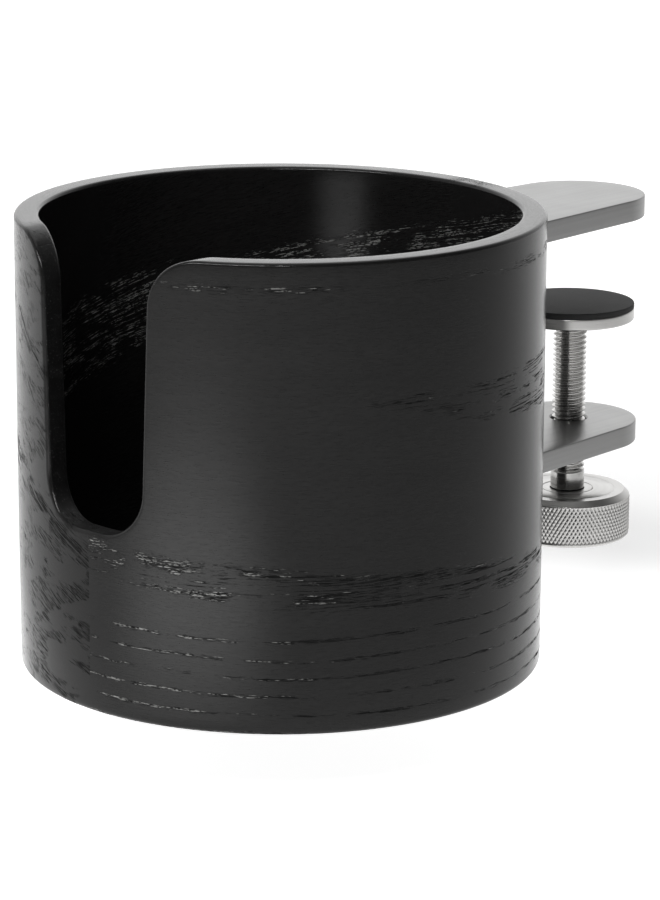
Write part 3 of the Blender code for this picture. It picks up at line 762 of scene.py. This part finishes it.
class Strip:
    """The bent strip as a flat blank and the way that it is bent.

    along runs from the upper arm's tip over the two bends to the lower arm's tip.
    """

    def __init__(self, sizes):
        self.half, self.end = sizes.plate / 2, sizes.arm_end
        self.bend = BEND_INNER + self.half
        self.y = STRIP_LOW.y + sizes.plate + BEND_INNER
        self.top = STRIP_HIGH.z - sizes.plate - BEND_INNER
        self.low = STRIP_LOW.z + sizes.plate + BEND_INNER
        arc = self.bend * math.pi / 2
        upper = STRIP_HIGH.y - self.y
        lower = SCREW_Y + self.end - self.y
        self.marks = np.cumsum([0, upper, arc, self.top - self.low, arc, lower])

    def width(self, along):
        """Half the strip's width: round ends, then a slow taper towards them."""
        last = self.marks[-1]
        inner = np.minimum(along, last - along)
        straight = self.end + np.maximum(np.interp(
            along, [self.end, self.marks[1], self.marks[4], last - self.end],
            [0, self.marks[1] - self.end, self.marks[1] - self.end, 0]), 0) * math.tan(ARM_TAPER)
        short = self.end - np.clip(inner, 0, self.end)
        round_end = np.sqrt(np.maximum(self.end**2 - short**2, 0))
        return np.where(inner < self.end, round_end, straight)

    def outline(self):
        """The blank's edge and the middle line that its faces grow from, both as closed rows."""
        last = self.marks[-1]
        tip = self.end * (1 - np.cos(np.radians(np.linspace(0, 90, 25))))
        m = self.marks
        runs = [tip, np.linspace(self.end, m[1], 20), np.linspace(m[1], m[2], 13),
                np.linspace(m[2], m[3], 24), np.linspace(m[3], m[4], 13),
                np.linspace(m[4], last - self.end, 19), last - tip[::-1]]
        along = np.concatenate([runs[0]] + [run[1:] for run in runs[1:]])
        half = self.width(along)
        edge = grid(along, half)
        edge = np.concatenate([edge, edge[-2::-1] * [1, -1]])
        return edge, grid(np.clip(edge[:, 0], self.end, last - self.end), 0)

    def bent(self, flat):
        """Bends (along, across, out) points into two arms, two quarter-circle bends and a spine."""
        along, across, out = np.moveaxis(flat, -1, 0)
        m = self.marks
        first = math.pi / 2 + (along - m[1]) / self.bend
        second = math.pi + (along - m[3]) / self.bend
        where = [along <= m[1], along <= m[2], along <= m[3], along <= m[4]]
        r = self.bend + out
        y = np.select(where, [self.y + m[1] - along, self.y + r * np.cos(first), self.y - r,
                              self.y + r * np.cos(second)], self.y + along - m[4])
        z = np.select(where, [self.top + r, self.top + r * np.sin(first), self.top - (along - m[2]),
                              self.low + r * np.sin(second)], self.low - r)
        return grid(across, y, z)


class CUPHOLDER_OT_bracket(bpy.types.Operator):
    """Build the bent aluminium strip with its round ends, tapped hole and four spine holes"""
    bl_idname = "cup_holder.bracket"
    bl_label = "Clamp bracket"

    def execute(self, context):
        sizes = context.scene.cup_holder_sizes
        strip = Strip(sizes)
        edge, middle = strip.outline()
        grids = [(strip.bent(points), uv)
                 for points, uv in plate_rings(edge, middle, sizes.plate, sizes.plate_edge)]
        bore = SPINDLE_RADIUS + SEAT_GAP
        under, over, lip = STRIP_LOW.z, STRIP_LOW.z + sizes.plate, 0.35 * MM
        hole = [(0, under - 5 * MM), (bore + lip + MM, under - MM), (bore, under + lip),
                (bore, over - lip), (bore + lip + MM, over + MM), (0, over + 5 * MM)]
        tools = [turned(hole, 64, centre=AXIS)]
        small = SHANK_RADIUS + SEAT_GAP
        for low, high in FIXINGS:
            out = STRIP_LOW.y + sizes.plate - low.y
            line = [(0, -8 * MM), (small, -8 * MM), (small, out - 0.3 * MM),
                    (small + 3 * MM, out + 2.7 * MM), (0, out + 2.7 * MM)]
            points, uv = turned(line, 32)
            tools.append((to_back(points, fixing_place(low, high)), uv))
        mesh = cut_out(mesh_of("bracket", *grids), mesh_of("bracket_holes", *tools))
        add_piece("bracket", mesh, metal("aluminium"), "root", "brushed_aluminium", "clamp_bracket")
        return {"FINISHED"}


class CUPHOLDER_OT_fixings(bpy.types.Operator):
    """Build the four countersunk screws that hold the bracket to the cup"""
    bl_idname = "cup_holder.fixings"
    bl_label = "Fixing screws"

    def execute(self, context):
        for number, (low, high) in enumerate(FIXINGS, 1):
            points, uv = socket_screw(fixing_profile(0.0, 0.0, high.y - low.y), 1.3 * MM, 1.6 * MM)
            mesh = mesh_of(f"fixing_{number}", (to_back(points, fixing_place(low, high)), uv))
            add_piece(f"fixing_{number}", mesh, metal("bright"), "root", "bright_steel",
                      f"bracket_screw_{number}")
        return {"FINISHED"}


def socket_screw(profile, key, depth, centre=(0.0, 0.0)):
    """A turned screw whose head's face, at the profile's start, has a six-sided socket.

    key is half the socket's width across flats. The socket's rings are drawn to hexagons.
    """
    face, up = profile[0][1], math.copysign(1, profile[-1][1] - profile[0][1])
    bottom = face + up * depth
    socket = [(0, bottom + up * 0.3 * MM), (key * 0.96, bottom), (key, bottom - up * 0.1 * MM),
              (key, face + up * 0.15 * MM), (key + 0.12 * MM, face)]
    body = [(key + 0.12 * MM, face)] + list(profile[1:])
    line = rounded(body, [0.12 * MM, 0.08 * MM, 0.3 * MM, 0.25 * MM][:len(body) - 2], 3)
    whole = np.concatenate([np.array(socket)[:-1], line])
    six = np.zeros(len(whole))
    six[:len(socket)] = [1, 1, 1, 1, 0.6]
    return turned(whole, 48, six, centre)


class CUPHOLDER_OT_arm_pad(bpy.types.Operator):
    """Build the rubber pad under the upper arm"""
    bl_idname = "cup_holder.arm_pad"
    bl_label = "Upper arm pad"

    def execute(self, context):
        low, high = ARM_PAD_LOW, ARM_PAD_HIGH
        centre = STRIP_HIGH.y - context.scene.cup_holder_sizes.arm_end
        end = high.y - centre
        tip = arc((centre, 0), end, 0, 90, 21)[0]
        side = np.linspace(tip[-1], (low.y + MM, high.x), 12)[1:]
        corner = arc((low.y + MM, high.x - MM), MM, 90, 180, 7)[0][1:]
        back = np.linspace(corner[-1], (low.y, 0), 6)[1:]
        half = np.concatenate([tip, side, corner, back])
        edge = np.concatenate([half, half[-2::-1] * [1, -1]])
        middle = grid(np.clip(edge[:, 0], low.y + end, centre), 0)
        thick = high.z - low.z + 0.25 * MM
        grids = []
        for points, uv in plate_rings(edge, middle, thick, 0.3 * MM):
            along, across, up = np.moveaxis(points, -1, 0)
            grids.append((grid(across, along, low.z + thick / 2 + up), uv))
        add_piece("arm_pad", mesh_of("arm_pad", *grids), rubber(), "root", "black_rubber",
                  "upper_arm_pad")
        return {"FINISHED"}


# ---- the clamp screw ----------------------------------------------------------------------------
JOURNAL_RADIUS = 3.0 * MM
BORE_RADIUS = 1.8 * MM
SHOULDER = 4.0 * MM          # plain part of the spindle above the knob
FACE_GAP = 0.02 * MM         # left between pieces that rest on each other
GROOVE = 11.2 * MM           # radius of the fine groove in the knob's top
KNURL_SINK = 0.15 * MM       # from the knurling's tips in to the plain radius beside it
KNURL_END = 0.75 * MM        # plain part under the knurling


def thread_grid(sizes, low, high, columns=48, per_pitch=14):
    """A right-hand screw thread between two heights.

    Row and angle give the height: row * pitch / per_pitch + angle * pitch / turn, held to the
    two ends, so the rows climb with the thread. The radius falls from the crest by the depth
    times a triangle wave of the row, flattened at crest and root, and the depth fades at the ends.
    """
    rows = np.arange(-per_pitch, int((high - low) / sizes.pitch * per_pitch) + per_pitch)[:, None]
    angle = np.linspace(0, TURN, columns + 1)[None, :]
    # the height falls as the column angle grows, because the columns run clockwise from above
    height = low + rows * sizes.pitch / per_pitch + (1 - angle / TURN) * sizes.pitch
    wave = np.abs(np.mod(rows / per_pitch, 1) * 2 - 1)
    groove = np.clip((wave - 0.12) / 0.72, 0, 1)
    fade = (np.clip((height - low) / (0.8 * sizes.pitch), 0, 1)
            * np.clip((high - height) / (0.5 * sizes.pitch), 0, 1))
    radius = SPINDLE_RADIUS - sizes.thread_depth * groove * fade
    return (swept(radius, angle, np.clip(height, low, high), AXIS),
            grid(rows * sizes.pitch / per_pitch, angle * SPINDLE_RADIUS))


class CUPHOLDER_OT_spindle(bpy.types.Operator):
    """Build the threaded clamp screw"""
    bl_idname = "cup_holder.spindle"
    bl_label = "Clamp screw"

    def execute(self, context):
        sizes = context.scene.cup_holder_sizes
        top, low = DISC_LOW.z - FACE_GAP, KNOB_HIGH.z + FACE_GAP
        start = low + SHOULDER
        upper = rounded([(0, SPINDLE_HIGH.z - 6 * MM), (BORE_RADIUS, SPINDLE_HIGH.z - 6 * MM),
                         (BORE_RADIUS, SPINDLE_HIGH.z), (JOURNAL_RADIUS, SPINDLE_HIGH.z),
                         (JOURNAL_RADIUS, top), (SPINDLE_RADIUS, top),
                         (SPINDLE_RADIUS, top - 0.6 * MM)],
                        [0, 0, 0.2 * MM, 0, 0.3 * MM], 3)
        lower = rounded([(SPINDLE_RADIUS, start), (SPINDLE_RADIUS, low), (JOURNAL_RADIUS, low),
                         (JOURNAL_RADIUS, SPINDLE_LOW.z), (BORE_RADIUS, SPINDLE_LOW.z),
                         (BORE_RADIUS, SPINDLE_LOW.z + 5 * MM), (0, SPINDLE_LOW.z + 5 * MM)],
                        [0.3 * MM, 0, 0.2 * MM, 0, 0], 3)
        mesh = mesh_of("spindle", turned(upper, 48, centre=AXIS),
                       thread_grid(sizes, start, top - 0.6 * MM), turned(lower, 48, centre=AXIS))
        add_piece("spindle", mesh, metal("bright"), "clamp_screw", "bright_steel", "clamp_spindle")
        return {"FINISHED"}


class CUPHOLDER_OT_foot(bpy.types.Operator):
    """Build the pressure disc and its rubber pad, and finish the screw between them"""
    bl_idname = "cup_holder.foot"
    bl_label = "Pressure foot"

    def execute(self, context):
        radius, low, high = DISC_HIGH.x, DISC_LOW.z, DISC_HIGH.z
        recess, depth = 5.0 * MM, 1.4 * MM
        hole = JOURNAL_RADIUS + SEAT_GAP
        line = [(hole, high - depth), (recess, high - depth), (recess, high), (radius, high),
                (radius, low), (hole, low), (hole, high - depth)]
        disc = rounded(line, [0, 0.2 * MM, 0.35 * MM, 0.45 * MM, 0.3 * MM], 5)
        spread = [np.linspace(a, b, 4)[:-1] for a, b in zip(disc, disc[1:])] + [disc[-1:]]
        mesh = mesh_of("foot_disc", turned(np.concatenate(spread), 128, centre=AXIS))
        add_piece("foot_disc", mesh, metal("steel"), "pressure_foot", "brushed_steel",
                  "pressure_disc")
        base = high + FACE_GAP
        pad = rounded([(0, base), (radius, base), (radius, PAD_HIGH.z), (0, PAD_HIGH.z)],
                      [0.1 * MM, 0.3 * MM], 6)
        add_piece("foot_pad", mesh_of("foot_pad", turned(pad, 128, centre=AXIS)), rubber(),
                  "pressure_foot", "black_rubber", "pressure_pad")
        refinish("disc_screw", finish("ringed_finish", ringed_steel, "ringed_finish"))
        return {"FINISHED"}


def refinish(node, material):
    """Gives a CAD node that stays in view a better finish."""
    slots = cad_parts[node].material_slots
    for slot in slots:
        slot.material = material
    if not slots:
        raise RuntimeError(f"{node} has no material slot")


class CUPHOLDER_OT_knob(bpy.types.Operator):
    """Build the knurled knob, the bush pressed into it and the screw under it"""
    bl_idname = "cup_holder.knob"
    bl_label = "Knob"

    def execute(self, context):
        sizes = context.scene.cup_holder_sizes
        radius, top, low = KNOB_HIGH.x, KNOB_HIGH.z, KNOB_LOW.z
        bush, shelf = BUSH_HIGH.x + 0.05 * MM, BUSH_LOW.z - SEAT_GAP
        head, plain = KNOB_SCREW_HIGH.x + SEAT_GAP, radius - KNURL_SINK
        columns = sizes.knurl_teeth * 6
        upper = rounded([(bush, shelf), (bush, top - 0.25 * MM), (bush + 0.25 * MM, top),
                         (GROOVE - 0.2 * MM, top), (GROOVE, top - 0.12 * MM),
                         (GROOVE + 0.2 * MM, top), (radius - KNOB_CHAMFER, top),
                         (plain, top - KNOB_CHAMFER + KNURL_SINK), (plain, top - KNOB_CHAMFER)],
                        [0, 0, 0, 0, 0, 0, 0.35 * MM, 0.1 * MM], 5)
        side = self.knurl(sizes, low + KNURL_END, top - KNOB_CHAMFER, radius, columns)
        lower = rounded([(plain, low + KNURL_END), (plain, low + 0.55 * MM),
                         (radius - 0.7 * MM, low), (head + 0.3 * MM, low), (head, low + 0.3 * MM),
                         (head, shelf), (bush, shelf)], [0.1 * MM, 0.25 * MM, 0, 0, 0], 4)
        mesh = mesh_of("knob_grip", turned(upper, columns, centre=AXIS), side,
                       turned(lower, columns, centre=AXIS))
        add_piece("knob_grip", mesh, metal("steel"), "clamp_screw", "brushed_steel", "knob")
        hole, under = SPINDLE_RADIUS + 0.06 * MM, BUSH_LOW.z
        ring = rounded([(hole, under), (hole, top), (BUSH_HIGH.x, top), (BUSH_HIGH.x, under),
                        (hole, under)], [0.25 * MM, 0.2 * MM, 0], 4)
        add_piece("bush", mesh_of("bush", turned(ring, 96, centre=AXIS)), metal("steel"),
                  "clamp_screw", "brushed_steel", "knob_bush")
        base, end = KNOB_SCREW_LOW.z, KNOB_SCREW_HIGH.z
        collar, shank = KNOB_SCREW_HIGH.x, 1.5 * MM
        line = [(0, base), (collar, base), (collar, under - SEAT_GAP), (shank, under - SEAT_GAP),
                (shank, end), (0, end)]
        mesh = mesh_of("end_screw", socket_screw(line, 2.0 * MM, 1.7 * MM, AXIS))
        add_piece("end_screw", mesh, metal("bright"), "clamp_screw", "bright_steel", "knob_screw")
        return {"FINISHED"}

    @staticmethod
    def knurl(sizes, low, high, radius, columns):
        """Diamond knurling: the smaller of two triangle waves, one leaning each way.

        Each wave's phase is the tooth count round the knob plus or minus the height over the
        height of one diamond. The relief fades to the plain radius at both ends.
        """
        pitch = TURN * radius / sizes.knurl_teeth
        tall = pitch / math.tan(math.radians(30))
        rows = int(round((high - low) / tall * 6))
        height = np.linspace(high, low, rows + 1)[:, None]
        angle = np.linspace(0, TURN, columns + 1)[None, :]
        teeth, climb = angle / TURN * sizes.knurl_teeth, (height - low) / (high - low) * rows / 6
        waves = [1 - np.abs(np.mod(teeth + side * climb, 1) * 2 - 1) for side in (-1, 1)]
        peak = np.minimum(*waves)
        fade = np.clip(np.minimum(height - low, high - height) / (0.35 * MM), 0, 1)
        plain = radius - KNURL_SINK
        r = plain + fade * (radius - sizes.knurl_depth * (1 - peak) - plain)
        return swept(r, angle, height, AXIS), grid(high - height + 0.02, angle * radius)


# ---- the studio ---------------------------------------------------------------------------------
CAMERA_PLACE = Vector((0.55595, -0.56772, 0.25279))
CAMERA_AIM = Vector((0.00835, 0.00689, 0.04669))
CAMERA_ROLL = math.radians(0.2)
CAMERA_LENS = 149.684
FLOOR_HALF = 3.0
FLOOR_LEVEL = -17.0 * MM     # clear of the knob, which hangs 16 mm under the cup at its lowest
DARK_SIDE = 68.0             # where the studio is darkest, in degrees round from the slot
BACK_LIGHT = 224.0           # where its brightest wall is


def area_light(name, place, aim, width, height, power):
    """A large soft rectangle of light that faces a point."""
    data = bpy.data.lights.new(name, "AREA")
    data.shape, data.size, data.size_y, data.energy = "RECTANGLE", width, height, power
    lamp = link(name, data)
    lamp.location = place
    lamp.rotation_mode = "QUATERNION"
    lamp.rotation_quaternion = (Vector(aim) - Vector(place)).to_track_quat("-Z", "Y")
    return lamp


def around(azimuth, elevation, distance, height=0.05):
    """A place round the cup: azimuth 0 is in front of the slot, 90 on the +X side."""
    a, e = math.radians(azimuth), math.radians(elevation)
    return (distance * math.sin(a) * math.cos(e), -distance * math.cos(a) * math.cos(e),
            height + distance * math.sin(e))


class CUPHOLDER_OT_studio(bpy.types.Operator):
    """Build the pale floor, the soft lights and the camera"""
    bl_idname = "cup_holder.studio"
    bl_label = "Studio"

    def execute(self, context):
        scene = context.scene
        x, y = np.meshgrid(*[np.linspace(-FLOOR_HALF, FLOOR_HALF, 25)] * 2)
        floor = link("floor", mesh_of("floor", (grid(x, y, FLOOR_LEVEL), grid(x, y))))
        floor.data.materials.append(finish("studio_white", studio_white, "studio_white"))
        world = Graph(bpy.data.worlds.new("studio"), "Background")
        way = world.node("TexCoord", "Generated", {})
        walls = [world.span(world.facing(way, around(*side, 1.0, 0)), *fall, smooth=True)
                 for side, fall in (((DARK_SIDE, 25), (-0.45, 0.55, 1.05, 0.10)),
                                    ((BACK_LIGHT, 26), (0.80, 0.95, 0.0, 0.45)))]
        world.set(Color=(1.0, 1.0, 1.0), Strength=world.plus(*walls))
        scene.world = world.owner
        aim = (0, 0.02, 0.05)
        area_light("top", (-0.1, 0.1, 1.1), aim, 0.9, 0.9, 3)
        area_light("key", around(16, 42, 1.1), aim, 1.0, 0.10, 11)
        camera = link("camera", bpy.data.cameras.new("camera"))
        camera.data.lens = CAMERA_LENS
        camera.data.clip_start, camera.data.clip_end = 0.01, 50.0
        camera.location = CAMERA_PLACE
        camera.rotation_mode = "QUATERNION"
        look = (CAMERA_AIM - CAMERA_PLACE).to_track_quat("-Z", "Y")
        camera.rotation_quaternion = look @ Quaternion((0, 0, 1), CAMERA_ROLL)
        scene.camera = camera
        scene.view_settings.view_transform = "Standard"
        return {"FINISHED"}


# ---- the panel and the run ----------------------------------------------------------------------
OPERATORS = (CUPHOLDER_OT_cup, CUPHOLDER_OT_bracket, CUPHOLDER_OT_fixings, CUPHOLDER_OT_arm_pad,
             CUPHOLDER_OT_spindle, CUPHOLDER_OT_foot, CUPHOLDER_OT_knob, CUPHOLDER_OT_studio)


class CUPHOLDER_PT_panel(bpy.types.Panel):
    """Lists the pieces and the values they are built from"""
    bl_idname = "CUPHOLDER_PT_panel"
    bl_label = "Cup Holder"
    bl_space_type = "VIEW_3D"
    bl_region_type = "UI"
    bl_category = "Cup Holder"

    def draw(self, context):
        for group in (context.scene.cup_holder_sizes, context.scene.cup_holder_look):
            box = self.layout.box()
            for name in group.bl_rna.properties.keys():
                if name not in ("rna_type", "name"):
                    box.prop(group, name)
        for made in OPERATORS:
            self.layout.operator(made.bl_idname)


CLASSES = (CupHolderSizes, CupHolderLook, *OPERATORS, CUPHOLDER_PT_panel)


def register():
    for made in CLASSES:
        bpy.utils.register_class(made)
    bpy.types.Scene.cup_holder_sizes = bpy.props.PointerProperty(type=CupHolderSizes)
    bpy.types.Scene.cup_holder_look = bpy.props.PointerProperty(type=CupHolderLook)


def unregister():
    del bpy.types.Scene.cup_holder_look
    del bpy.types.Scene.cup_holder_sizes
    for made in reversed(CLASSES):
        bpy.utils.unregister_class(made)


def main():
    """Registers the add-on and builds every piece."""
    register()
    for call in (bpy.ops.cup_holder.cup, bpy.ops.cup_holder.bracket, bpy.ops.cup_holder.fixings,
                 bpy.ops.cup_holder.arm_pad, bpy.ops.cup_holder.spindle, bpy.ops.cup_holder.foot,
                 bpy.ops.cup_holder.knob, bpy.ops.cup_holder.studio):
        call()
    bpy.context.view_layer.update()


if __name__ == "__main__":
    main()
